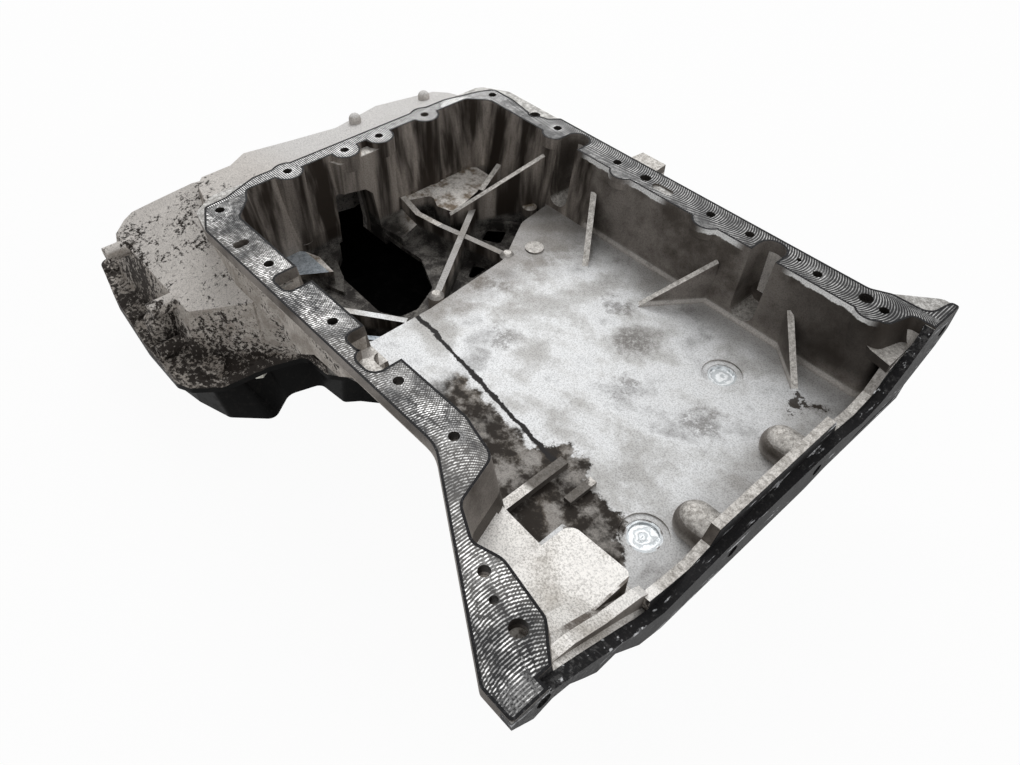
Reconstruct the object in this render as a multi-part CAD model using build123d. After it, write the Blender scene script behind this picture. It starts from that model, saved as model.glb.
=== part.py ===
from build123d import *
import os
import math

os.makedirs("parts", exist_ok=True)

# Engine oil pan, all lengths in millimetres: a cast upper pan with a machined rim, a shallow tray
# and a deep well at its front, and a black lower pan bolted under the well.
# It is drawn in rim coordinates. The machined rim is z = 0, x runs from the front wall to the bell
# housing end and y from the near rail to the far rail. At the end the whole pan is set on its
# bottom, centred over the origin.

# Rim, seen from above.
front_x = -17.0          # outer edge of the front rail
rim_length = 450.5       # front rail to bell face
near_y = -12.0           # outer edge of the near rail
rim_width = 315.5        # near rail to far rail
front_rail = 12.5        # widths of the rails
near_rail = 28.0
far_rail = 26.5
near_flare = 72.5        # how far each rail spreads out at the bell end
far_flare = 30.0
land_t = 1.4             # machined land above the cast rim
rim_t = 10.0             # whole thickness of the rim

# Walls and depths of the casting.
wall_t = 6.0
draft = 9.0              # lean of the tray walls, rim to floor
tray_depth = 62.0        # rim to tray floor
floor_t = 5.0
well_length = 158.0      # front rail to the edge of the tray floor
well_step = 24.0         # tray floor down to the ribbed web of the well
web_t = 4.0
skirt = 8.0              # web down to the lower joint face
lower_flange_t = 9.0
rib_t = 5.5
rib_drop = 1.0           # ribs stop this far under the tray floor
gusset_t = 5.0
bell_t = 11.0            # thickness of the bell face
rear_wall_t = 7.0
rear_wall_in = 7.0       # bell face to the rear wall

# Lower pan and its fixings.
pan_depth = 52.0
pan_t = 4.0
pan_flange_t = 5.0
pan_margin = 19.0        # joint edge to the tub wall
seal_t = 2.0
seal_w = 6.0
bolt_d = 6.0
bolt_clear = 0.6         # hole over bolt, on the radius
thread_clear = 0.15      # drawn room between bolt and tapped hole
bolt_reach = 9.5         # how deep a bolt enters the casting
drain_d = 14.0
drain_washer_t = 1.5

# Holes of the rim and the bell face.
rim_hole_r = 3.6
dowel_r = 5.2
bell_hole_r = 4.5
hole_depth = 16.0
boss_r = 13.0
plug_r = (11.0, 12.0)    # core plugs of the tray floor
plug_rim = 4.2           # width of the counterbore round a plug
plug_press = 0.02

# Levels and edges that follow from these.
bell_x = front_x + rim_length
far_y = near_y + rim_width
front_in = front_x + front_rail
near_in = near_y + near_rail
far_in = far_y - far_rail
well_x = front_x + well_length
floor_z = -tray_depth
web_z = floor_z - well_step
joint_z = web_z - web_t - skirt
shelf_z = joint_z + lower_flange_t
pan_z = joint_z - pan_depth
rib_z = floor_z - rib_drop
near_mid = near_y + 15.0     # bolt rows of the rails
far_mid = far_y - 14.0


def ring(points, z, radii=0.0):
    """Closed flat outline at height z, its corners rounded."""
    pts = [(p[0], p[1], z) for p in points]
    if isinstance(radii, (int, float)) and radii == 0:
        return make_face(Polyline(*pts, close=True))
    return make_face(FilletPolyline(*pts, radius=radii, close=True))


def plate(points, z0, z1, radii=0.0):
    """Upright prism over an outline."""
    return extrude(ring(points, z0, radii), amount=z1 - z0, dir=(0, 0, 1))


def rounded(rows, z0, z1):
    """Prism over rows of (x, y, corner radius)."""
    return plate([r[:2] for r in rows], z0, z1, [r[2] for r in rows])


def drum(x, y, r, z0, z1):
    return Pos(x, y, (z0 + z1) / 2) * Cylinder(r, z1 - z0)


def lying(axis, x, y, z, r, length):
    """Cylinder along x or y about its middle."""
    turn = Rot(0, 90, 0) if axis == "x" else Rot(90, 0, 0)
    return Pos(x, y, z) * turn * Cylinder(r, length)


def cross_wall(profile, x0, x1):
    """Wall across the pan: its (y, z) profile carried from x0 to x1."""
    outline = make_face(Polyline(*[(x0, y, z) for y, z in profile], close=True))
    return extrude(outline, amount=x1 - x0, dir=(1, 0, 0))


def hood(low, z_low, top, level):
    """Body from an outline at z_low up to an outline on the slope z = a + b x + c y."""
    a, b, c = level
    high = [(x, y, a + b * x + c * y) for x, y in top]
    return loft([ring(low, z_low), make_face(Polyline(*high, close=True))], ruled=True)


def rib(start, end, z_start, z_end, base, t):
    """Upright rib in plan from start to end, its top running from z_start to z_end."""
    dx, dy = end[0] - start[0], end[1] - start[1]
    n = Vector(-dy, dx, 0).normalized()
    foot = [(start[0], start[1], base), (end[0], end[1], base)]
    top = [(start[0], start[1], z_start)] if z_end <= base else [(end[0], end[1], z_end), (start[0], start[1], z_start)]
    side = make_face(Polyline(*[Vector(*p) - n * (t / 2) for p in foot + top], close=True))
    return extrude(side, amount=t, dir=n)


def inset(points, d):
    """Outline moved inwards by d, or outwards if d is negative, with its corners kept sharp."""
    n = len(points)
    area = sum(points[i][0] * points[(i + 1) % n][1] - points[(i + 1) % n][0] * points[i][1] for i in range(n))
    side = math.copysign(1.0, area)
    moved = []
    for before, here, after in zip(points[-1:] + points[:-1], points, points[1:] + points[:1]):
        normals = []
        for p, q in ((before, here), (here, after)):
            length = math.dist(p[:2], q[:2])
            normals.append((-(q[1] - p[1]) / length * side, (q[0] - p[0]) / length * side))
        (ax, ay), (bx, by) = normals
        k = d / (1 + ax * bx + ay * by)
        moved.append((here[0] + k * (ax + bx), here[1] + k * (ay + by)))
    return moved


# Rim: cast outline, machined land on it, and the opening inside it. Rows are (x, y, radius).
RIM = [(front_x, near_y + 25, 9), (front_x + 12, near_y + 7, 7), (front_x + 41, near_y, 20), (bell_x - 143.5, near_y, 30),
       (bell_x - 21.5, near_y - near_flare, 5), (bell_x, near_y - near_flare, 3), (bell_x, far_y + far_flare, 2),
       (bell_x - 12.5, far_y + far_flare, 5), (bell_x - 48.5, far_y, 14), (front_x + 25, far_y, 12), (front_x, far_y - 15, 12)]
LAND = [(front_x, near_y + 62, 3), (front_x + 11, near_y + 32, 6), (front_x + 12, near_y + 14, 6), (front_x + 39, near_y, 16),
        (bell_x - 143.5, near_y, 30), (bell_x - 21.5, near_y - near_flare, 5), (bell_x, near_y - near_flare, 3),
        (bell_x, far_y + far_flare, 2), (bell_x - 6, far_y + far_flare, 3), (bell_x - 10.5, far_y + 8, 9), (bell_x - 37.5, far_y + 7, 8),
        (bell_x - 51.5, far_y, 10), (front_x + 93, far_y, 2), (front_x + 86, far_y - 9, 3), (front_x + 68, far_y - 14, 6),
        (front_x + 40, far_y - 9, 8), (front_x + 15, far_y - 9, 8), (front_x + 8, far_y - 24, 4), (front_x, far_y - 58, 3)]
OPENING = [(front_in, near_in + 22, 5), (front_in + 13, near_in + 15, 6), (front_in + 28, near_in, 8),
           (bell_x - 148.5, near_in, 24), (bell_x - 115.5, near_in - 8, 12), (bell_x - 103.5, near_in - 42, 10),
           (bell_x - 81.5, near_in - 53, 9), (bell_x - 63.5, near_in - 47.5, 16), (bell_x - 25.5, near_in - 54, 8),
           (bell_x + 15, near_in - 87, 0), (bell_x + 15, far_in + 23, 0), (bell_x - 16.5, far_in + 23, 6),
           (bell_x - 23.5, far_in, 8), (front_in + 16, far_in, 10), (front_in, far_in - 15, 6)]
opening = [row[:2] for row in OPENING]
opening_r = [row[2] for row in OPENING]
floor_edge = inset(opening, draft)
skin_top = inset(opening, -wall_t)
skin_low = inset(floor_edge, -wall_t)

# Outside of the casting: tray skin, deep end over the well, front box and near corner housing.
solid = [rounded(RIM, -rim_t, -land_t), rounded(LAND, -land_t - 0.5, 0.0)]
solid.append(loft([ring(skin_low, floor_z - floor_t), ring(skin_top, -land_t - 0.5)], ruled=True))
DEEP_TOP = [(front_x, near_y + 12), (47, near_y + 3), (100, near_y + 3), (112, near_y + 5), (124, near_y + 13),
            (136, near_y + 21), (well_x + 9, near_y + 23), (well_x + 9, far_y - 19), (front_x, far_y - 19)]
DEEP_LOW = [(front_x - 9, near_y + 20), (47, near_y + 1), (72, near_y + 1), (84, near_y + 12), (96, near_y + 27),
            (128, near_y + 31), (well_x + 9, near_y + 38), (well_x + 9, far_y - 14), (front_x - 9, far_y - 14)]
solid.append(loft([ring(DEEP_LOW, shelf_z - 1), ring(DEEP_TOP, -rim_t - 2)], ruled=True))
FRONT_BOX = [(front_x + 5, near_y + 28), (front_x - 14, near_y + 25), (front_x - 46, near_y + 34), (front_x - 57, near_y + 43),
             (front_x - 58, near_y + 70), (front_x - 72, near_y + 90), (front_x - 60, near_y + 132), (front_x - 50, near_y + 172),
             (front_x - 63, far_y - 90), (front_x - 45, far_y - 35), (front_x - 29, far_y - 28), (front_x + 5, far_y - 26)]
BOX_TOP = (-rim_t + 3.6, 0.18, 0.0)
solid.append(hood(inset(FRONT_BOX, -8), shelf_z - 1, FRONT_BOX, BOX_TOP))
HOUSING = [(-90, -46), (36, -47), (72, -11), (64, 14), (-76, 32), (-82, 24), (-93, -5), (-100, -25), (-98, -34)]
HOUSING_FOOT = [(-96, -54), (40, -56), (77, -14), (77, 14), (-90, 40), (-100, 30), (-106, -5), (-108, -25), (-104, -40)]
HOUSING_TOP = (-34.4, 0.0, 0.324)
solid.append(hood(HOUSING_FOOT, shelf_z - 1, HOUSING, HOUSING_TOP))

# Lower joint: a flange that follows the housing and the well, with ears at its near bolts.
JOINT = [(-120, -46, 12), (-108, -63, 8), (-68, -71, 20), (0, -77, 40), (48, -77, 8), (60, -71, 6), (75, -52, 8),
         (79, -14, 12), (88, 13, 8), (116, 15, 10), (129, 26, 8), (138, 62, 14), (176, 84, 16),
         (176, far_y - 33.5, 16), (158, far_y - 13.5, 14), (-98, far_y - 13.5, 16), (-120, far_y - 35.5, 16)]
solid.append(rounded(JOINT, joint_z, shelf_z))

# Bell face: plate square to x that rises into an ear at each end.
BELL_EDGE = [(near_y - near_flare, -9), (near_y - 58, -21), (near_y - 46, -17), (near_y - 34, -20), (near_y - 23, -31), (near_y - 12, -41),
             (near_y + 2, -40), (near_y + 26, -64), (near_y + 46, -71), (near_y + 192, -71), (near_y + 252, -60), (far_y - 11.5, -60),
             (far_y + 22, -32), (far_y + far_flare, -20)]
BELL = [(near_y - near_flare, -1)] + BELL_EDGE + [(far_y + far_flare, -1)]
solid.append(cross_wall(BELL, bell_x - bell_t, bell_x))

# Outward bosses: lug of the far rail, bulges round the two pockets, shell under the near notches.
LUG_X = 170.0
solid.append(plate([(LUG_X - 15, far_y - 8), (LUG_X + 15, far_y - 8), (LUG_X + 13, far_y + 17.5), (LUG_X - 12, far_y + 17.5)], -22, -3))
POCKETS = [111.0, 311.0]
pocket_r = 10.5
for x in POCKETS:
    solid.append(plate([(x - 17, far_in - 2), (x + 17, far_in - 2), (x + 15, far_y - 1), (x - 15, far_y - 1)], floor_z - 2, -rim_t + 1))
NOTCH_SHELL = [(112, -5), (206, -5), (205, -14), (196, -20), (184, -29), (176, -30), (154, -31), (128, -50), (112, -56)]
shell_side = make_face(Polyline(*[(x, near_y + 2.5, z) for x, z in NOTCH_SHELL], close=True))
solid.append(extrude(shell_side, amount=near_rail - 1, dir=(0, 1, 0)))
solid.append(plate([(196, near_y + 13), (225, near_y + 13), (225, near_in + 4), (196, near_in + 4)], -31, -rim_t + 1))
upper = solid[0] + solid[1:]

# Room inside: the shallow tray, the well at its front and the spaces under the web.
room = [loft([ring(floor_edge, floor_z, opening_r), ring(opening, 0.01, opening_r)], ruled=True)]
well_in = front_in + draft
WELL = [(well_in, near_in + draft + 16, 6), (well_in + 22, near_in + draft + 2, 5), (well_x - 13, near_in + draft + 2, 6),
        (well_x, near_in + draft + 19, 6), (well_x, 100, 30), (well_x - 8, 186, 24), (well_x - 36, 232, 20),
        (well_x - 41, far_in - 9, 4), (well_in + 8, far_in - 9, 8), (well_in - 1, far_in - 20, 6)]
room.append(rounded(WELL, web_z, floor_z + 0.5))
room.append(plate([(12, 42), (30, 40), (110, 42), (116, 64), (well_x - 7, 100), (well_x - 13, 190), (well_x - 43, 236),
                   (well_x - 47, far_in - 15), (22, far_in - 15), (12, far_in - 27)], joint_z - 1, web_z - web_t))
room.append(hood([(-86, -41), (36, -42), (54, -14), (58, 26), (-88, 24)], joint_z - 1,
                 [(-82, -38), (32, -39), (60, -11), (50, 12), (-82, 18)], (HOUSING_TOP[0] - wall_t - 1, 0, HOUSING_TOP[2])))
room.append(hood(inset(FRONT_BOX, 12), joint_z - 1, inset(FRONT_BOX, wall_t + 6), (BOX_TOP[0] - wall_t - 1, BOX_TOP[1], 0)))
# The tray is open at the bell end, nothing passes the bell face, and the near corner rises to its ear.
room.append(cross_wall([(near_y - 90, joint_z), (far_y + 60, joint_z), (far_y + 60, 1), (near_y - 90, 1)], bell_x, bell_x + 30))
ear_x = bell_x - 28
room.append(cross_wall([(near_y - 90, joint_z), (near_y - 90, -9)] + BELL_EDGE[:9] + [(near_y + 46, joint_z)], ear_x, bell_x + 1))
upper -= room

# Inside the casting: bosses under the rail holes of the front wall, and the wall between two of them.
inside = []
FRONT_ROW = [(-7, 76), (-4, 129), (-4, 164), (-7, 216)]
for x, y in (FRONT_ROW[0], FRONT_ROW[3]):
    nose = 9.0
    inside.append(drum(x, y, boss_r, web_z + 22, -0.5 * rim_t))
    inside.append(Pos(x, y, web_z + 22 - nose / 2) * Cone(boss_r / 2, boss_r, nose))
for x, y in FRONT_ROW[1:3]:
    inside.append(drum(x, y, boss_r, -rim_t - 4, 0))
for x, y in (FRONT_ROW[0], FRONT_ROW[3]):
    inside.append(drum(x, y, boss_r, -rim_t, 0))
inside.append(plate([(front_in - 6, 110), (front_in + 11, 117), (front_in + 11, 171), (front_in - 6, 179)], web_z - 1, -5))
# Bulges of the far rail inside its bolt holes.
for x, y, r, foot in ((90, -19.5, 12.5, -rim_t), (170, -20.5, 12.5, -rim_t), (257, -20.5, 13.5, -rim_t), (395, -18.5, 12.5, -50)):
    inside.append(drum(x, far_y + y, r, foot, 0))

# Ledges and pads of the well.
inside.append(plate([(well_in - 6, 56), (well_in + 8, 60), (36, 64), (60, 72), (40, 85), (19, 93), (6, 107), (well_in - 6, 108)],
                    web_z - web_t / 2, web_z + 4))
inside.append(plate([(well_in - 6, 62), (8, 70), (22, 75), (46, 73), (28, 44), (8, 38)], web_z - web_t / 2, web_z + 17))
inside.append(rounded([(well_in - 6, 178, 0), (8, 176, 3), (18, 201, 5), (42, 190, 4), (52, 196, 5), (40, 236, 6), (26, far_in - 14, 3),
                       (well_in - 6, far_in - 14, 0)], web_z - web_t / 2, web_z + 21))
inside.append(hood([(well_in - 1, 150), (38, 150), (36, 178), (well_in - 1, 180)], web_z - web_t / 2,
                   [(well_in - 1, 150), (36, 151), (34, 176), (well_in - 1, 179)], (web_z - 42.2, 0.12, 0.3)))
# Ribs of the well: long diagonal, curved one, near ones, stub by the far wall.
crossing = (60, 215), (131, 114)
inside.append(rib(crossing[0], crossing[1], rib_z + 2, rib_z, web_z - 1, rib_t))
CURVED = [(3, 178), (34, 172), (60, 176), (90, 183), (130, 192)]
for start, end in zip(CURVED[:-1], CURVED[1:]):
    inside.append(rib(start, end, rib_z, rib_z, web_z - 1, rib_t))
    inside.append(drum(end[0], end[1], rib_t / 2, web_z - 1, rib_z))
inside.append(rib((70, near_in + 10), (well_x - 1, 78), rib_z + 3, rib_z + 1, web_z - 1, rib_t))
inside.append(rib((104, near_in + 11), (well_x, 60), rib_z - 7, rib_z - 7, web_z - 1, rib_t - 1))
inside.append(rib((34, far_in - 8), (46, 236), rib_z + 11, rib_z + 3, web_z - 1, gusset_t))
inside.append(rib((70, 230), (97, 250), web_z + 8, web_z + 8, web_z - 1, rib_t - 1))
# Round ends of the two main ribs at the floor edge, screw boss in the far corner.
ball_r = 6.5
for x, y in (crossing[1], CURVED[-1]):
    inside.append(drum(x, y, ball_r, web_z - 1, rib_z))
    inside.append(Pos(x, y, rib_z + ball_r / 4) * Cone(ball_r, ball_r / 2, ball_r / 2))
inside.append(drum(88, far_in - 19, 6.5, web_z - 1, floor_z - 4))

# Gussets of the far wall: (wall end x, toe x, toe y, top, foot).
for x, toe_x, toe_y, top, foot in ((88, 53, far_in - 84, -19, rib_z), (149, 186, far_in - 49, -26, floor_z),
                                   (279, 245, far_in - 51, -22, floor_z), (346, 382, far_in - 35, -27, floor_z)):
    inside.append(rib((x, far_in - 4), (toe_x, toe_y), top, foot, min(foot, floor_z) - 1 if foot == floor_z else web_z - 1, gusset_t))

# Rear wall of the tray with its stepped top, and the two capsule bosses against it.
REAR = [(near_y + 38, floor_z - 1), (near_y + 38, -40), (near_y + 56, -44),
        (near_y + 74, -47), (near_y + 92, -42), (near_y + 98, -31), (near_y + 220, -31), (near_y + 225, -45), (near_y + 252, -49),
        (far_y - 43.5, -44), (far_y - 30, -27), (far_y - 22, -22), (far_y - 0.5, -22), (far_y - 0.5, floor_z - 1)]
rear_x = bell_x - rear_wall_in
inside.append(cross_wall(REAR, rear_x - rear_wall_t, rear_x))
inside.append(cross_wall(BELL, rear_x, bell_x))
CAPSULES = [97.0, 188.0]
capsule_r = 14.0
for y in CAPSULES:
    capsule = lying("x", rear_x - 14, y, floor_z + 4, capsule_r, 14) + Pos(rear_x - 21, y, floor_z + 4) * Sphere(capsule_r)
    inside.append(capsule - drum(rear_x - 18, y, 2 * capsule_r, floor_z - 20, floor_z - 1))

# Near rear corner: raised block, low ribs beside it, groove and ledge along the rear wall.
block_x = bell_x - 71.5
block_top = floor_z + 27
inside.append(rounded([(block_x, -44, 0), (block_x + 2, 27, 8), (block_x + 49, 29, 6), (block_x + 49, -56, 0)], floor_z - 1, block_top))
CORNER = [(near_y - 58, -5), (near_y - 48, -6), (near_y - 21, -19), (near_y + 19, -40), (near_y + 44, -56)]
inside.append(cross_wall(BELL_EDGE[1:9] + CORNER[::-1], ear_x - 6, bell_x - 1))
RIDGE = [(near_y - 48, -9), (near_y - 20, -14), (near_y + 5, -26), (near_y + 34, -35), (near_y + 41, -40), (near_y + 41, floor_z), (near_y + 30, floor_z)]
inside.append(cross_wall(RIDGE, bell_x - 18, bell_x - 11))
inside.append(plate([(block_x - 47, 4), (block_x - 40, 4), (block_x - 40, 70), (block_x - 47, 70)], floor_z - 1, floor_z + 6))
inside.append(plate([(block_x - 24, 50), (block_x - 18, 50), (block_x - 18, 74), (block_x - 24, 74)], floor_z - 1, floor_z + 3.5))
inside.append(plate([(block_x - 46, 3), (block_x + 1, 1), (block_x + 1, 9), (block_x - 46, 11)], floor_z - 1, floor_z + 16))
inside.append(rounded([(block_x - 46, -8, 2), (block_x - 34, -24, 6), (block_x - 10, -32, 6), (block_x + 2, -30, 0), (block_x + 2, 2, 0),
                       (block_x - 46, 4, 0)], floor_z - 1, block_top - 8))
inside.append(plate([(bell_x - 38, far_in + 2), (bell_x - 25, far_in - 5), (rear_x - 1, far_in - 9), (rear_x - 1, far_in + 26), (bell_x - 24.5, far_in + 26)], -27, -20))
inside.append(drum(139, 215, 8, floor_z - 1, floor_z + 1.2))

# On the outside of the housing: two studs, a lump and a tube on its near side, two pins on the box.
inside.append(lying("y", -70, -51, -51, 6.5, 26))
inside.append(lying("y", 12, -52, -54, 6.5, 30))
inside.append(drum(2, -59, 12, shelf_z - 1, -70) + Pos(2, -59, -66) * Cone(12, 5, 8))
tube_y, tube_z, tube_r = -58.0, shelf_z + 5, 6.0
inside.append(lying("y", 24, tube_y, tube_z, tube_r, 34))
for x, y in ((front_x - 45, 178), (front_x - 38, 252)):
    inside.append(drum(x, y, 5.5, -40, -14) + Pos(x, y, -14) * Sphere(5.5))

# Bolts of the lower joint, the first four under raised seats.
BOLTS = [(-108, -54), (-37, -65), (62, -50), (70, -20), (112, 30), (157, 100), (157, 172), (157, far_y - 55.5),
         (104, far_y - 25.5), (28, far_y - 25.5), (-48, far_y - 25.5), (-109, far_y - 59.5), (-109, 150), (-109, 58)]
seat_r = 9.0
for (x, y), rise in zip(BOLTS, (2.5, 2.5, 6.0, 3.0)):
    inside.append(drum(x, y, seat_r, joint_z, shelf_z + rise))
upper += inside

# Cut last: window, openings of the web, pockets, notches, hollows and every hole.
cuts = [cross_wall([(109, joint_z - 1), (109, -66), (111, -36), (118, -33), (138, -37), (145, -44), (148, -66), (150, web_z), (149, joint_z - 1)],
                   front_x - 14, front_in + 17)]
cuts.append(rounded([(front_x + 8, 109, 0), (well_in, 106, 3), (19, 92, 3), (40, 84, 4), (95, 82, 6), (111, 91, 6), (113, 108, 8), (100, 134, 6),
                     (63, 151, 6), (39, 149, 4), (front_x + 8, 149, 0)], joint_z - 1, web_z + 6))
cuts.append(plate([(66, 226), (80, 239), (92, 219), (76, 209)], joint_z - 1, web_z + 1, 3))
cuts.append(plate([(97, 183), (110, 190), (114, 158)], joint_z - 1, web_z + 1, 3))
cuts.append(plate([(28, 192), (54, 200), (57, 195), (31, 187)], joint_z - 1, web_z + 22))
# Slanted pockets of the far wall, open to the rim, and the notches of the near rail.
for x in POCKETS:
    cuts.append(plate([(x - pocket_r, far_in - 12), (x + pocket_r, far_in - 12), (x + pocket_r, far_y - 5), (x - pocket_r, far_y - 5)], -47, 1, [1, 1, 10, 10]))
    cuts.append(lying("y", x, (far_in + far_y) / 2 - 9, -47, pocket_r, far_y - far_in + 5))
cuts.append(plate([(101, near_y + 8), (121, near_y + 8), (121, near_in + 10), (101, near_in + 10)], -50, 1, 6))
cuts.append(plate([(182, near_y + 12), (201, near_y + 12), (201, near_in + 10), (182, near_in + 10)], -20, 1, 6))
cuts.append(plate([(199, near_y + 6), (222, near_y + 6), (222, near_in + 10), (199, near_in + 10)], -8, 1, 8))
cuts.append(plate([(201, near_y + 18), (219, near_y + 18), (219, near_in + 10), (201, near_in + 10)], -26, -7, 6))
# Hollow under the raised block, and the step of the bell face below the rear wall.
cuts.append(plate([(block_x + 6, -34), (block_x + 7, 22), (block_x + 43, 23), (block_x + 43, -40)], floor_z - floor_t - 1, block_top - floor_t))
cuts.append(cross_wall([(near_y - 50, 1), (near_y - 48, -6), (near_y - 21, -19), (near_y + 19, -40), (near_y + 44, -50), (near_y + 72, -47),
                        (near_y + 98, -44), (near_y + 222, -44), (near_y + 252, -50), (far_y - 41.5, -45), (far_y - 21.5, -28),
                        (far_y - 7.5, -8), (far_y - 3.5, 1)], rear_x, bell_x + 1))
# Counterbores and bores of the core plugs.
CORES = [(337, 216, plug_r[0]), (389, 69, plug_r[1])]
for x, y, r in CORES:
    cuts += [drum(x, y, r + plug_rim, floor_z - 1.2, floor_z + 1), drum(x, y, r, floor_z - 20, floor_z)]
cuts.append(lying("y", 24, tube_y - 12, tube_z, tube_r / 2, 24))
for x, y in BOLTS:
    cuts.append(drum(x, y, bolt_d / 2 + thread_clear, joint_z - 1, joint_z + bolt_reach + 1.5))
RIM_HOLES = [(6, near_y + 21), (86, near_mid), (165, near_mid), (236, near_mid), (292, near_mid - 2.5), (bell_x - 64.5, near_y - 32),
             (5, far_mid - 3.5), (86, far_mid + 0.5), (157, far_mid - 0.5), (254, far_mid - 0.5), (289, far_mid + 1.5), (349, far_mid - 0.5),
             (bell_x - 32.5, far_mid + 0.5)] + FRONT_ROW
DOWELS = [(bell_x - 30.5, near_y - 40), (bell_x - 47.5, far_mid + 2.5)]
for x, y in RIM_HOLES:
    cuts.append(drum(x, y, rim_hole_r, -hole_depth, 1))
for x, y in DOWELS:
    cuts.append(drum(x, y, dowel_r, -hole_depth, 1))
cuts += [drum(384, near_y - 39, 2.5, -rim_t, 1), drum(331, far_mid + 3.5, 1.8, -rim_t, 1), drum(55, far_mid + 2.5, 5, -rim_t + 3, 1),
         drum(188, far_mid - 0.5, 4.6, -rim_t / 2, 1)]
cuts.append(plate([(49.5, near_y + 6), (56.8, near_y + 6), (56.8, near_y + 18), (49.5, near_y + 18)], -rim_t - 1, 1, 3.6))
cuts.append(plate([(198, far_mid - 6.5), (217, far_mid - 6.5), (217, far_mid + 1.5), (198, far_mid + 1.5)], -1.6, 1, 3.6))
BELL_HOLES = [(near_y - 52, -10), (near_y + 109, -57), (near_y + 200, -57), (far_y + 18.5, -16)]
for y, z in BELL_HOLES:
    cuts.append(lying("x", bell_x - bell_t / 2, y, z, bell_hole_r, bell_t + 4))
upper -= cuts
nodes = {"upper_pan": upper}

# Core plugs: shallow cups pressed into the two bores of the floor.
for k, (x, y, r) in enumerate(CORES, 1):
    cup_top = floor_z - 1.6
    nodes["core_plug_%d" % k] = drum(x, y, r - plug_press, floor_z - floor_t, cup_top) - drum(x, y, r - 1.8, cup_top - 1.6, cup_top + 1)

# Lower pan: flange on the joint, tub that narrows downwards, drain boss on its rear side.
joint = [row[:2] for row in JOINT]
joint_r = [row[2] for row in JOINT]
mouth = inset(joint, pan_margin)
TUB = [(-101, -38, 10), (-94, -47, 8), (-64, -53, 12), (-26, -54, 8), (-6, -65, 10), (24, -62, 12), (48, -56, 6), (55, -38, 8),
       (61, -12, 14), (69, 33, 8), (110, 35, 8), (117, 59, 10), (140, 81, 10), (146, 98, 10), (146, far_y - 43.5, 12),
       (136, far_y - 32.5, 12), (-90, far_y - 32.5, 12), (-101, far_y - 45.5, 12)]
SUMP = [(-90, -34, 10), (-84, -43, 8), (-58, -50, 12), (-24, -51, 8), (-4, -65, 10), (26, -60, 10), (58, -50, 8), (84, -23, 8),
        (68, 0, 12), (76, 27, 8), (106, 30, 6), (114, 41, 8), (134, 58, 8), (143, 96, 10), (143, far_y - 53.5, 12),
        (132, far_y - 40.5, 12), (-80, far_y - 41.5, 12), (-90, far_y - 53.5, 12)]
tub, tub_r = [row[:2] for row in TUB], [row[2] for row in TUB]
sump, sump_r = [row[:2] for row in SUMP], [row[2] for row in SUMP]
drain_y, drain_z, drain_x = 172.0, pan_z + 16.0, 153.0
pan = rounded(JOINT, joint_z - pan_flange_t, joint_z) + [
    loft([ring(sump, pan_z, sump_r), ring(tub, joint_z - 1, tub_r)], ruled=True),
    lying("x", drain_x - 8, drain_y, drain_z, drain_d, 16)]
hollow = [loft([ring(inset(sump, pan_t), pan_z + pan_t), ring(inset(tub, pan_t), joint_z)], ruled=True),
          plate(inset(tub, -seal_w + pan_t), joint_z - seal_t, joint_z + 1),
          lying("x", drain_x - 10, drain_y, drain_z, drain_d / 2, 30)]
for x, y in BOLTS:
    hollow.append(drum(x, y, bolt_d / 2 + bolt_clear, joint_z - pan_flange_t - 1, joint_z + 1))
nodes["lower_pan"] = pan - hollow

# Seal in the step round the mouth of the lower pan.
nodes["lower_pan_seal"] = plate(inset(tub, -seal_w + pan_t), joint_z - seal_t, joint_z) - plate(inset(tub, pan_t), joint_z - seal_t - 1, joint_z + 1)

# Drain plug with its washer.
drain_clear = 0.15
nodes["drain_washer"] = (lying("x", drain_x + drain_washer_t / 2, drain_y, drain_z, drain_d * 0.8, drain_washer_t)
                         - lying("x", drain_x, drain_y, drain_z, drain_d / 2 + drain_clear, 8))
plug = lying("x", drain_x - 5, drain_y, drain_z, drain_d / 2 - drain_clear, 16)
plug += lying("x", drain_x + drain_washer_t + 1.25, drain_y, drain_z, drain_d * 0.75, 2.5)
plug += Pos(drain_x + drain_washer_t + 2, drain_y, drain_z) * extrude(Plane.YZ * RegularPolygon(drain_d * 0.7, 6), amount=8.0)
nodes["drain_plug"] = plug

# Bolts: hexagon heads under the lower pan, shanks up into the casting.
head_z, bolt_head = joint_z - pan_flange_t, 6.0
for k, (x, y) in enumerate(BOLTS, 1):
    bolt = drum(x, y, bolt_d / 2, head_z - 1, joint_z + bolt_reach)
    bolt += extrude(Pos(x, y, head_z - bolt_head) * RegularPolygon(bolt_d * 0.96, 6), amount=bolt_head, dir=(0, 0, 1))
    nodes["pan_bolt_%02d" % k] = bolt

# Set the pan on its bottom, centred over the origin.
low = [min(getattr(s.bounding_box().min, c) for s in nodes.values()) for c in "XYZ"]
high = [max(getattr(s.bounding_box().max, c) for s in nodes.values()) for c in "XYZ"]
move = (-(low[0] + high[0]) / 2, -(low[1] + high[1]) / 2, -low[2])
print("rim box", [round(v, 2) for v in low], [round(v, 2) for v in high], "move", [round(v, 3) for v in move])
for name, solid in nodes.items():
    moved = Pos(*move) * solid
    print(name, "solids", len(moved.solids()), "volume", round(moved.volume), "valid", moved.is_valid)
    export_step(moved, "parts/%s.step" % name)
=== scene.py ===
import bpy
import bmesh
from mathutils import Matrix, Vector


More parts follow.
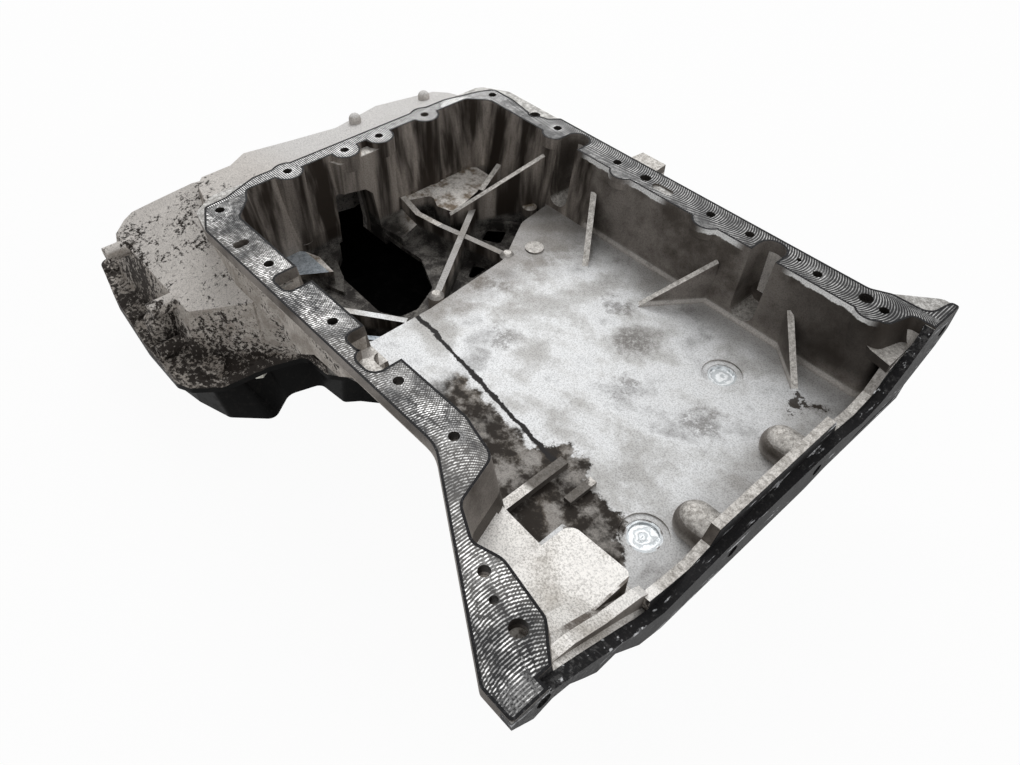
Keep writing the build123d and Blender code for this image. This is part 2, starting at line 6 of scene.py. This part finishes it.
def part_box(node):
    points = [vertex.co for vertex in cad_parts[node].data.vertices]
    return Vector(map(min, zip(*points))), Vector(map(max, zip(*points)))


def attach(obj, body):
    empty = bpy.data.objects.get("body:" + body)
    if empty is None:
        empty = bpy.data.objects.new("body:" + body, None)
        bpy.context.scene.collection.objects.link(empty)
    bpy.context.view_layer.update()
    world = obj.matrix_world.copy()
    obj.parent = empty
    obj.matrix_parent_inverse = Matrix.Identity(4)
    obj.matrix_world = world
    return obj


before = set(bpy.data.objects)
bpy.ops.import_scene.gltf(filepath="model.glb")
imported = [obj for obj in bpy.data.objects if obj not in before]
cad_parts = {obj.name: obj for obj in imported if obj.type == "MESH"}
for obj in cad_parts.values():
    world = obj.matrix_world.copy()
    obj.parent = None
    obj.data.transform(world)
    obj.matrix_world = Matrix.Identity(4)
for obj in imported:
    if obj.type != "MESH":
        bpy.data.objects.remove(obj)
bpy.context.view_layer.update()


# The studio: a white sheet that the oil pan stands on, in even daylight from two windows and a
# lamp. Sheet and sky read as plain white to the eye and in bright metal, and the sheet keeps a
# faint shadow.
class Value:
    """What varies over a surface. Sums, products, comparisons and | (the larger of two) add nodes."""

    def __init__(self, finish, socket):
        self.finish, self.socket = finish, socket

    def math(self, operation, *terms):
        return self.finish.node("ShaderNodeMath", dict(enumerate(terms)), operation=operation)

    def __add__(self, other):
        return self.math("ADD", self, other)

    def __sub__(self, other):
        return self.math("SUBTRACT", self, other)

    def __rsub__(self, other):
        return self.math("SUBTRACT", other, self)

    def __mul__(self, other):
        return self.math("MULTIPLY", self, other)

    def __or__(self, other):
        return self.math("MAXIMUM", self, other)

    def __abs__(self):
        return self.math("ABSOLUTE", self)

    def __gt__(self, other):
        return self.math("GREATER_THAN", self, other)

    def __lt__(self, other):
        return self.math("LESS_THAN", self, other)

    __radd__, __rmul__, __ror__ = __add__, __mul__, __or__

    def at_most(self, limit):
        return self.math("MINIMUM", self, limit)

    def root(self):
        return self.math("SQRT", self)

    def wave(self):
        return self.math("SINE", self)

    def within(self, low, high):
        return (self > low) * (self < high)

    def rise(self, low, high):
        """Smooth step, 0 at low and 1 at high. High may be the smaller of the two."""
        return self.finish.node("ShaderNodeMapRange", {"Value": self, "From Min": low, "From Max": high},
                                interpolation_type="SMOOTHSTEP")

    def far_from(self, point):
        """Distance of a place from a point."""
        return self.finish.node("ShaderNodeVectorMath", {0: self, 1: point}, out="Value", operation="DISTANCE")


class Finish:
    """The nodes that make a material or the sky."""

    def __init__(self, owner, gloss=None):
        self.owner = owner
        owner.use_nodes = True
        self.tree = owner.node_tree
        self.shader = self.tree.nodes.get("Principled BSDF") or self.tree.nodes["Background"]
        if gloss is not None:
            self.shader.inputs["Specular IOR Level"].default_value = gloss

    def feed(self, socket, value):
        if isinstance(value, Value):
            self.tree.links.new(value.socket, socket)
        else:
            socket.default_value = value

    def node(self, kind, feeds=None, out=0, **settings):
        made = self.tree.nodes.new(kind)
        for key, value in settings.items():
            setattr(made, key, value)
        for key, value in (feeds or {}).items():
            self.feed(made.inputs[key], value)
        return Value(self, made.outputs[out])

    def mix(self, first, second, share):
        """Colour that goes from the first to the second as the share goes from 0 to 1."""
        return self.node("ShaderNodeMix", {0: share, 6: first, 7: second}, out=2, data_type="RGBA")

    def noise(self, place, scale, detail, rough, stretch=None):
        """Cloudy value between 0 and 1, mostly near 0.5."""
        if stretch:
            place = self.node("ShaderNodeMapping", {"Vector": place, "Scale": stretch})
        return self.node("ShaderNodeTexNoise",
                         {"Vector": place, "Scale": scale, "Detail": detail, "Roughness": rough})

    def seen(self):
        """1 where the eye or a reflection looks, 0 where light falls."""
        camera_ray, glossy_ray, clear_ray = [self.node("ShaderNodeLightPath", out="Is %s Ray" % kind)
                                             for kind in ("Camera", "Glossy", "Transmission")]
        return camera_ray | glossy_ray | clear_ray

    def surface(self, colour, roughness, metallic=None, height=None, depth=0.0002, strength=0.4):
        """Feed the shader with what varies over the surface, and give the material back."""
        self.feed(self.shader.inputs["Base Color"], colour)
        self.feed(self.shader.inputs["Roughness"], roughness)
        if metallic is not None:
            self.feed(self.shader.inputs["Metallic"], metallic)
        if height is not None:
            self.feed(self.shader.inputs["Normal"],
                      self.node("ShaderNodeBump", {"Height": height, "Distance": depth, "Strength": strength}))
        return self.owner


sheet_reach, whiteness, daylight = 6.0, 0.95, 0.36
bm = bmesh.new()
bmesh.ops.create_grid(bm, x_segments=1, y_segments=1, size=sheet_reach)
sheet_mesh = bpy.data.meshes.new("white_sheet")
bm.to_mesh(sheet_mesh)
bm.free()
white_sheet = bpy.data.objects.new("white_sheet", sheet_mesh)
bpy.context.scene.collection.objects.link(white_sheet)
paper = Finish(bpy.data.materials.new("white_sheet"))
paper.shader.inputs["Base Color"].default_value = (0.86, 0.86, 0.86, 1)
paper.shader.inputs["Roughness"].default_value = 0.9
glow = paper.node("ShaderNodeEmission", {"Color": (1, 1, 1, 1), "Strength": 1.0})
matt = Value(paper, paper.shader.outputs[0])
lit = paper.node("ShaderNodeMixShader", {0: paper.seen() * whiteness, 1: matt, 2: glow})
paper.feed(paper.tree.nodes["Material Output"].inputs["Surface"], lit)
sheet_mesh.materials.append(paper.owner)

sky = Finish(bpy.data.worlds.new("sky"))
sky.shader.inputs["Color"].default_value = (1, 1, 1, 1)
sky.feed(sky.shader.inputs["Strength"], daylight + sky.seen() * (1.0 - daylight))
bpy.context.scene.world = sky.owner

middle_of_pan = Vector((0, 0, 0.08))
for name, stand, width, power in (("window_left", (-1.3, 1.0, 1.7), 1.4, 21.0),
                                  ("window_right", (1.6, 0.9, 1.3), 1.0, 7.5),
                                  ("lamp_front", (0.9, -1.5, 1.5), 1.2, 5.0)):
    light = bpy.data.lights.new(name, "AREA")
    light.size, light.energy = width, power
    lamp = bpy.data.objects.new(name, light)
    lamp.location = stand
    lamp.rotation_euler = (middle_of_pan - Vector(stand)).to_track_quat("-Z", "Y").to_euler()
    bpy.context.scene.collection.objects.link(lamp)


# The upper pan: one sand-grained aluminium casting, bolted under the engine. Its rim and bell face
# are milled flat, its tray floor is bright, its well is brown with oil varnish, and its outside is
# dull with road dirt.
cast = Finish(bpy.data.materials.new("cast_aluminium"), gloss=0.15)
# Millimetres from the near front corner of the rim: x to the bell end, y to the far rail, z up.
place = cast.node("ShaderNodeMapping", {"Vector": cast.node("ShaderNodeTexCoord", out="Object"),
                                        "Scale": (1000, 1000, 1000), "Location": (156.75, 124.5, -150.0)})
x, y, z = [cast.node("ShaderNodeSeparateXYZ", {0: place}, out=k) for k in range(3)]
facing = cast.node("ShaderNodeNewGeometry", out="True Normal")
face_far, face_up = [cast.node("ShaderNodeSeparateXYZ", {0: facing}, out=k) for k in (1, 2)]
up = face_up.rise(0.45, 0.8)
floor_level = -62.0

# Patterns of the whole casting, from sand grain up to broad clouds.
grain = cast.noise(place, 0.9, 3.0, 0.7)
specks = cast.noise(place, 0.3, 8.0, 0.75)
patches = cast.noise(place, 0.07, 6.0, 0.65)
wander = cast.noise(place, 0.05, 6.0, 0.7)
clouds = cast.noise(place, 0.018, 5.0, 0.6)
ragged = patches - 0.5

# Walls of the tray: brown-grey, darker along the far wall, with a painted highlight low on the walls
# where they meet the floor, and a painted highlight line along the fillet on the far side of the floor.
walls = cast.mix((0.090, 0.077, 0.066, 1), (0.265, 0.240, 0.218, 1),
                 (clouds + ragged * 0.3).rise(0.36, 0.66))
far_wall = (x + ragged * 60.0).rise(270.0, 400.0) * y.rise(200.0, 250.0) * z.rise(-60.0, -40.0)
walls = cast.mix(walls, (0.018, 0.014, 0.011, 1), far_wall * 0.75)
# Painted highlight: the walls lighter just above the floor, where the fillet catches the light.
foot_highlight = z.rise(-54.0, -60.0) * x.rise(136.0, 146.0) * clouds.rise(0.2, 0.55)
colour = cast.mix(walls, (0.52, 0.49, 0.46, 1), foot_highlight * 0.8)
# Painted highlight: a thin light line along the fillet at the bottom of the far walls.
fillet_highlight = z.rise(-56.0, -57.5) * z.rise(-61.5, -60.0) * (x > 146.0) * (y > 190.0) * patches.rise(0.30, 0.5)
colour = cast.mix(colour, (0.72, 0.69, 0.66, 1), fillet_highlight * 0.6)

# The well: varnish in dark runs down its walls, sludge at the bottom, and pale ledges by the
# window.
runs = cast.noise(place, 1.0, 4.0, 0.55, (0.055, 0.055, 0.006))
in_well = x.rise(150.0, 138.0) * (x > -12.0) * y.within(16.0, 280.0)
varnish = cast.mix((0.030, 0.023, 0.018, 1), (0.42, 0.375, 0.335, 1), runs.rise(0.38, 0.66))
colour = cast.mix(colour, varnish, in_well * (1 - up))
tops = cast.mix((0.34, 0.32, 0.295, 1), (0.70, 0.675, 0.64, 1), specks.rise(0.36, 0.62))
colour = cast.mix(colour, tops, up)
sludge = cast.mix((0.035, 0.032, 0.030, 1), (0.20, 0.19, 0.175, 1),
                  (patches + (grain - 0.5) * 0.3).rise(0.40, 0.66))
colour = cast.mix(colour, sludge, in_well * z.rise(-70.0, -76.0))
ledges = in_well * up * z.rise(-78.0, -72.0) * z.rise(-62.5, -64.0)
ledge_stain = cast.mix((0.27, 0.215, 0.160, 1), (0.90, 0.87, 0.83, 1), patches.rise(0.38, 0.58))
colour = cast.mix(colour, ledge_stain, ledges)
near_ledge = cast.mix((0.28, 0.32, 0.36, 1), (0.54, 0.59, 0.64, 1), specks.rise(0.36, 0.6))
colour = cast.mix(colour, near_ledge, ledges * (y < 70.0))

# The tray floor: blasted silver under soft dark smudges, with painted brown shade near the well and the far
# walls.
on_floor = up * z.rise(-60.6, -61.4) * (z > -64.0) * (x > 60.0)
silver = cast.mix((0.42, 0.415, 0.405, 1), (0.74, 0.75, 0.76, 1),
                  (clouds + ragged * 0.35).rise(0.34, 0.62))
smudges = (clouds + ragged * 0.3).rise(0.50, 0.80)
for smudge_x, smudge_y, reach in ((270, 193, 22), (355, 165, 26), (150, 155, 20), (300, 150, 16),
                                  (398, 236, 12), (235, 215, 14), (200, 120, 20)):
    smudge = (place.far_from((smudge_x, smudge_y, floor_level)) + ragged * 46.0).rise(reach, reach * 0.2)
    smudges = smudges | smudge * specks.rise(0.34, 0.56) * 0.85
floor = cast.mix(silver, (0.060, 0.050, 0.042, 1), smudges * 0.70)
# Painted shade: the floor darkened in brown near the far walls and along the edge of the well.
corner_shade = (y + ragged * 30.0).rise(236.0, 268.0) | (x + ragged * 40.0).rise(372.0, 430.0)
well_edge_shade = (x + ragged * 80.0 - y * 0.12).rise(172.0, 118.0) * y.rise(70.0, 110.0)
floor = cast.mix(floor, (0.13, 0.11, 0.09, 1), corner_shade * 0.45 | well_edge_shade * 0.6)
flake = (place.far_from((393.0, 236.0, floor_level)) + ragged * 60.0).rise(9.0, 7.0)
floor = cast.mix(floor, (0.030, 0.022, 0.016, 1), flake * 0.9)

# Old oil on the near side of the floor: a black run of sealant, and the brown stain behind it.
from_run = y + (x - 140.0) * 0.1176 - 88.0 + (wander - 0.5) * 11.0
black_run = abs(from_run).rise(2.2, 1.4) * x.within(136.0, 312.0)
stain = (from_run + ragged * 30.0).rise(-4.0, -9.0) * (x < 350.0)
stain = stain * (x + (wander - 0.5) * 50.0).rise(196.0, 216.0)
for stain_x, stain_y, reach in ((318, 58, 27), (342, 54, 25), (364, 50, 22), (378, 42, 14)):
    from_stain = place.far_from((stain_x, stain_y, floor_level)) + (wander - 0.5) * 58.0
    stain = stain | from_stain.rise(reach, reach - 4.0)
oil = cast.mix((0.020, 0.016, 0.013, 1), (0.160, 0.136, 0.110, 1),
               (patches + (clouds - 0.5) * 0.5 + (grain - 0.5) * 0.12).rise(0.40, 0.66))
floor = cast.mix(floor, oil, stain * (0.74 + patches.rise(0.62, 0.44) * 0.25))
floor = cast.mix(floor, (0.022, 0.021, 0.021, 1), black_run)
colour = cast.mix(colour, floor, on_floor)
on_cross_ribs = stain * x.within(292.0, 350.0) * (y < 80.0) * (z < -32.0) * (1 - on_floor)
colour = cast.mix(colour, (0.055, 0.046, 0.038, 1), on_cross_ribs * 0.8)

# The raised block of the near rear corner, the groove behind it, and the dark band of the bell
# face with painted glints in streaks along it.
block = up * (x > 300.0) * y.rise(40.0, 34.0) * z.within(-61.0, -12.0)
block_skin = cast.mix((0.52, 0.49, 0.45, 1), (0.88, 0.86, 0.83, 1),
                      (clouds + (grain - 0.5) * 0.3).rise(0.36, 0.6))
colour = cast.mix(colour, block_skin, block)
groove = x.within(409.5, 414.5) * y.within(-62.0, 36.0) * z.within(-50.0, -14.0)
colour = cast.mix(colour, (0.085, 0.062, 0.044, 1), groove * patches.rise(0.36, 0.56) * 0.85)
bell_band = (x > 426.0) * (z < -1.0)
band_skin = cast.mix((0.011, 0.011, 0.012, 1), (0.075, 0.074, 0.074, 1),
                     (specks + (z + 30.0) * 0.0025).rise(0.50, 0.66))
colour = cast.mix(colour, band_skin, bell_band)
streaks = cast.noise(place, 1.0, 4.0, 0.6, (0.25, 0.03, 0.25))
# Painted highlight: thin bright glints in streaks on the dark bell band.
glint_streaks = streaks.rise(0.60, 0.66) * specks.rise(0.40, 0.52)
colour = cast.mix(colour, (0.80, 0.81, 0.83, 1), bell_band * glint_streaks * 0.8)

# The outside: taupe with dark specks that run together low down, and washed cleaner on the far
# side.
below_rim = z < -9.5
near_side = (y < 16.0) * (z < -9.0) * (x < 285.0) * ((y < -12.0) | (face_far < 0.3))
flare_side = (y < 40.0) * (x > 284.0) * below_rim * (face_far < -0.3)
far_side = below_rim * (((y > 284.0) | (y > 262.0) * (x < 150.0)) * (face_far > 0.3) | (y > 297.0))
underside = (z < -64.5) * (face_up < -0.5)
outside = ((x < -17.5) | near_side | flare_side | far_side | underside) * (x < 426.5)
top_skin = up * z.rise(-70.0, -50.0)
washed = y.rise(60.0, 120.0) * (0.35 + up * 0.4)
weather = cast.mix((0.36, 0.323, 0.286, 1), (0.62, 0.577, 0.53, 1), patches.rise(0.36, 0.64))
weather = cast.mix(weather, (0.80, 0.765, 0.73, 1), top_skin * 0.7)
weather = cast.mix(weather, (0.78, 0.77, 0.76, 1), washed)
dirt = specks * 0.75 + patches * 0.25 + (clouds - 0.5) * 0.5 - y * 0.0003 - (z + 78.0) * 0.0013
weather = cast.mix(weather, (0.036, 0.030, 0.026, 1), dirt.rise(0.475, 0.535) * (1 - washed * 1.2))
colour = cast.mix(colour, weather, outside)

# The milled rim: crossing arcs of the cutter on the near rail, arcs round the far rail, fine
# hatching on the front rail, and metal rubbed bright round the bolts.
land = (z > -0.3) * up
near_cutter, far_cutter = 40.0, 420.0 ** 0.5
across_near = y + 15.0 + ((x - 285.0) | 0.0) * 0.4
near_swing = ((near_cutter ** 2 - across_near * across_near) | 0.0).root()
crossing = ((x + near_swing) * 3.3).wave() + ((x - near_swing) * 3.3).wave() * 0.45
near_wear = (patches + (clouds - 0.5) * 0.6).rise(0.40, 0.64) * 0.62 + 0.14
near_cut = (crossing + (specks - 0.5) * 8.5).rise(0.0, 1.8) * near_wear
across_far = y - 289.0
far_swing = ((far_cutter ** 2 - across_far * across_far) | 0.0).root()
far_wear = patches.rise(0.4, 0.6) * 0.35 + 0.2
far_cut = (((x - far_swing) * 3.0).wave() + (specks - 0.5) * 2.6).rise(0.25, 1.0) * far_wear
front_cut = ((y * 3.6).wave() + (specks - 0.5) * 4.0).rise(0.1, 0.9) * 0.6
on_near, on_far = (y < 40.0) * (x > -2.0), (y > 265.0) * (x > 20.0)
cut = near_cut * on_near + far_cut * on_far + front_cut * (1 - on_near) * (1 - on_far)
worn = 0.0
for worn_x, worn_y, reach in ((8, 4, 22), (92, 6, 24), (152, 6, 26), (128, 2, 24), (270, -2, 22),
                              (376, -52, 44), (416, -68, 34), (0, 250, 20)):
    worn = worn | (place.far_from((worn_x, worn_y, 0.0)) + ragged * 60.0).rise(reach, reach * 0.3)
halos = 0.0
for halo_x, halo_y, reach in ((6, 9, 9), (86, 3, 9), (165, 3, 11), (236, 3, 11), (292, 0.5, 9),
                              (369, -44, 9), (428, -72, 12), (-7, 76, 8), (-4, 129, 9),
                              (-4, 164, 8), (86, 290, 8), (349, 289, 10)):
    from_bolt = place.far_from((halo_x, halo_y, 0.0)) + (specks - 0.5) * 26.0
    halos = halos | from_bolt.rise(reach, reach * 0.6)
bright = cut * (1.0 + worn * 1.7) | halos * (0.12 + cut * 1.5) * grain.rise(0.40, 0.54) * 1.1
film = (clouds + ragged * 0.5).rise(0.36, 0.60) * (0.15 + on_near * 0.6)
dull_metal = cast.mix((0.030, 0.030, 0.031, 1), (0.110, 0.106, 0.101, 1), film)
milled = cast.mix(dull_metal, (0.92, 0.915, 0.905, 1), bright.at_most(1.0))
colour = cast.mix(colour, milled, land)

# Holes of the rim: painted shade, dark down their bores from the top of each hole.
mouth_level, mouth_reach = -1.0, 7.0
hole_shade = 0.0
for hole_x, hole_y in ((6, 9), (86, 3), (165, 3), (236, 3), (292, 0.5), (369, -44), (403, -52),
                       (384, -51), (-7, 76), (-4, 129), (-4, 164), (5, 286), (86, 290), (157, 289),
                       (254, 289), (289, 291), (349, 289), (401, 290), (386, 292), (331, 293),
                       (55, 292), (188, 289)):
    hole_shade = hole_shade | (place.far_from((hole_x, hole_y, mouth_level)) < mouth_reach)
colour = cast.mix(colour, (0.030, 0.027, 0.025, 1), hole_shade * (1 - up) * 0.85)

# Cast edges beside the milled land: the notch by the near rail, painted pale as a painted highlight,
# the shoulders, and the machined cut under the far rail between its bosses, painted bright as a highlight.
# Painted highlight: the up-facing faces of the notch painted pale, as if lit.
notch_highlight = x.within(112.0, 152.0) * (y < 32.0) * (z > -34.0) * up * (1 - land)
colour = cast.mix(colour, (0.66, 0.67, 0.68, 1), notch_highlight)
shoulder = cast.mix((0.30, 0.29, 0.275, 1), (0.62, 0.61, 0.59, 1), specks.rise(0.4, 0.6))
colour = cast.mix(colour, shoulder, (z > -2.5) * up * (1 - land))
spans = 0.0
for start, end in ((134, 162), (184, 214), (262, 288), (335, 398)):
    spans = spans | x.rise(start - 8, start + 4) * x.rise(end + 8, end - 4)
# Painted highlight: a real machined edge under the far rail, painted bright to stand in for its highlight.
cut_edge_highlight = spans * y.within(262.0, 279.0) * (z + ragged * 7.0).rise(-4.4, -3.6) * (1 - up)
colour = cast.mix(colour, (0.92, 0.92, 0.91, 1), cut_edge_highlight)

# Sand grain, wherever the casting isn't milled.
sand = grain.rise(0.56, 0.36) * (1 - land)
colour = cast.mix(colour, (0.030, 0.027, 0.025, 1), sand * 0.32)
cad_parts["upper_pan"].data.materials[0] = cast.surface(
    colour,
    0.50 + patches * 0.16 + outside * 0.16 - land * 0.10,
    0.55 + land * 0.25 + on_floor * 0.15 - outside * 0.35,
    (grain * 0.5 + patches * 0.2) * (1 - land) + specks * outside * 0.8 + cut * land * 0.2,
    depth=0.0006, strength=0.55)


# Sealant squeezed out along both edges of the rim: a flat black bead, left on when the pan came off
# the engine. It follows the edges of the milled face, and the bolt holes have none.
bead_width, bead_height, bead_lift = 0.0016, 0.0001, 0.00003
same_point, same_level, bolt_hole_sides = 1e-5, 1e-4, 60
bm = bmesh.new()
bm.from_mesh(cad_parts["upper_pan"].data)
bmesh.ops.remove_doubles(bm, verts=bm.verts, dist=same_point)
rim_height = max(v.co.z for v in bm.verts)
below = [f for f in bm.faces if min(v.co.z for v in f.verts) < rim_height - same_level]
bmesh.ops.delete(bm, geom=below, context="FACES")
bmesh.ops.holes_fill(bm, edges=[e for e in bm.edges if e.is_boundary], sides=bolt_hole_sides)
edge_strips = set(bmesh.ops.inset_region(bm, faces=bm.faces, thickness=bead_width,
                                         use_even_offset=True, use_boundary=True)["faces"])
bmesh.ops.delete(bm, geom=[f for f in bm.faces if f not in edge_strips], context="FACES")
bmesh.ops.recalc_face_normals(bm, faces=bm.faces)
bmesh.ops.translate(bm, verts=bm.verts, vec=(0, 0, bead_lift))
risen = bmesh.ops.extrude_face_region(bm, geom=bm.faces[:], use_keep_orig=True)["geom"]
bead_top = [part for part in risen if isinstance(part, bmesh.types.BMVert)]
bmesh.ops.translate(bm, verts=bead_top, vec=(0, 0, bead_height))
bmesh.ops.recalc_face_normals(bm, faces=bm.faces)
bead_mesh = bpy.data.meshes.new("rim_sealant")
bm.to_mesh(bead_mesh)
bm.free()
rim_sealant = bpy.data.objects.new("rim_sealant", bead_mesh)
bpy.context.scene.collection.objects.link(rim_sealant)
sealant = Finish(bpy.data.materials.new("old_sealant"), gloss=0.15)
where = sealant.node("ShaderNodeTexCoord", out="Object")
crumbs = sealant.noise(where, 500.0, 5.0, 0.7)
bead_colour = sealant.mix((0.008, 0.008, 0.009, 1), (0.085, 0.085, 0.088, 1), crumbs.rise(0.52, 0.72))
bead_mesh.materials.append(
    sealant.surface(bead_colour, 0.42 + crumbs * 0.3, height=crumbs, depth=0.0003, strength=0.6))
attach(rim_sealant, "root")


# The lower pan: moulded black plastic, bolted under the casting. It is satin, greasy near the joint
# and a little dusty.
plastic = Finish(bpy.data.materials.new("black_plastic"), gloss=0.05)
where = plastic.node("ShaderNodeTexCoord", out="Object")
pebble = plastic.noise(where, 900.0, 2.0, 0.5)
grease = plastic.noise(where, 22.0, 5.0, 0.65)
dust = plastic.noise(where, 130.0, 7.0, 0.7).rise(0.50, 0.68)
pan_colour = plastic.mix((0.003, 0.003, 0.003, 1), (0.008, 0.008, 0.008, 1), grease)
pan_colour = plastic.mix(pan_colour, (0.040, 0.037, 0.035, 1), dust * 0.3)
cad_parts["lower_pan"].data.materials[0] = plastic.surface(
    pan_colour, 0.34 + grease * 0.22 + dust * 0.2, height=pebble * 0.5 + grease, depth=0.0005)


# The seal between the two pans: a flat ring of soft black rubber, squeezed in the joint by the
# bolts, dull with a little oil.
rubber = Finish(bpy.data.materials.new("seal_rubber"))
where = rubber.node("ShaderNodeTexCoord", out="Object")
bloom = rubber.noise(where, 60.0, 5.0, 0.6)
seal_colour = rubber.mix((0.016, 0.016, 0.016, 1), (0.050, 0.049, 0.047, 1), bloom)
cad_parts["lower_pan_seal"].data.materials[0] = rubber.surface(
    seal_colour, 0.55 + bloom * 0.3, height=bloom)


# Two core plugs: pressed steel cups, driven into bores of the tray floor and wiped bright; their faces
# carry swirl rings that are partly real marks and partly a painted reflection, and a dark line of oil is left
# at the edge.
for plug in ("core_plug_1", "core_plug_2"):
    steel = Finish(bpy.data.materials.new("bright_steel"))
    where = steel.node("ShaderNodeTexCoord", out="Object")
    middle = [(low + high) / 2 for low, high in zip(*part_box(plug))]
    radius = where.far_from(middle)
    smear = steel.noise(where, 150.0, 4.0, 0.6)
    # Swirl rings: real marks in the bump, and a painted reflection in the colour.
    swirl_marks_and_reflection = (radius * 1500.0 + smear * 16.0).wave()
    plug_colour = steel.mix((0.46, 0.485, 0.50, 1), (0.74, 0.76, 0.77, 1),
                            (swirl_marks_and_reflection + (smear - 0.5) * 3.0).rise(-0.4, 0.9))
    oily_edge = radius.rise(0.0102, 0.0116) * smear.rise(0.42, 0.6)
    plug_colour = steel.mix(plug_colour, (0.16, 0.15, 0.145, 1), oily_edge)
    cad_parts[plug].data.materials[0] = steel.surface(
        plug_colour, 0.16 + smear * 0.3, 0.66 + smear * 0.28, swirl_marks_and_reflection * 0.3 + smear, strength=0.35)


# Flange bolts of the lower pan and its drain plug: zinc plated steel, screwed in from below, with
# brown dirt in the plating.
zinc = Finish(bpy.data.materials.new("zinc_steel"))
where = zinc.node("ShaderNodeTexCoord", out="Object")
tarnish = zinc.noise(where, 60.0, 3.0, 0.5)
pits = zinc.noise(where, 260.0, 5.0, 0.65)
bolt_dirt = pits.rise(0.55, 0.68)
bolt_colour = zinc.mix((0.34, 0.33, 0.29, 1), (0.58, 0.57, 0.52, 1), tarnish)
bolt_colour = zinc.mix(bolt_colour, (0.090, 0.072, 0.058, 1), bolt_dirt * 0.8)
zinc.surface(bolt_colour, 0.30 + pits * 0.3, 0.8 - bolt_dirt * 0.5, pits)
for name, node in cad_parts.items():
    if name.startswith("pan_bolt") or name == "drain_plug":
        node.data.materials[0] = zinc.owner


# The drain plug's washer: a soft aluminium ring, crushed between the plug and the lower pan and
# lightly scuffed.
washer = Finish(bpy.data.materials.new("washer_aluminium"))
where = washer.node("ShaderNodeTexCoord", out="Object")
scuffs = washer.noise(where, 320.0, 4.0, 0.6)
washer_colour = washer.mix((0.46, 0.46, 0.45, 1), (0.68, 0.68, 0.67, 1), scuffs)
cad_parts["drain_washer"].data.materials[0] = washer.surface(
    washer_colour, 0.32 + scuffs * 0.25, 0.72 + scuffs * 0.25, scuffs)


# The camera stands where the photograph was taken from: above the near rail, towards the bell end,
# tilted over to the left.
lens = bpy.data.cameras.new("camera")
lens.sensor_width, lens.lens, lens.clip_start = 36.0, 28.306, 0.01
camera = bpy.data.objects.new("camera", lens)
right_of_view, top_of_view = (0.676107, 0.736432, 0.023411), (-0.549704, 0.483008, 0.681564)
towards_eye, eye = (0.490618, -0.473679, 0.731384), (0.36667, -0.30410, 0.50964)
turn = Matrix((right_of_view, top_of_view, towards_eye)).transposed().to_4x4()
camera.matrix_world = Matrix.Translation(eye) @ turn
bpy.context.scene.collection.objects.link(camera)
bpy.context.scene.camera = camera
bpy.context.scene.view_settings.view_transform = "Standard"
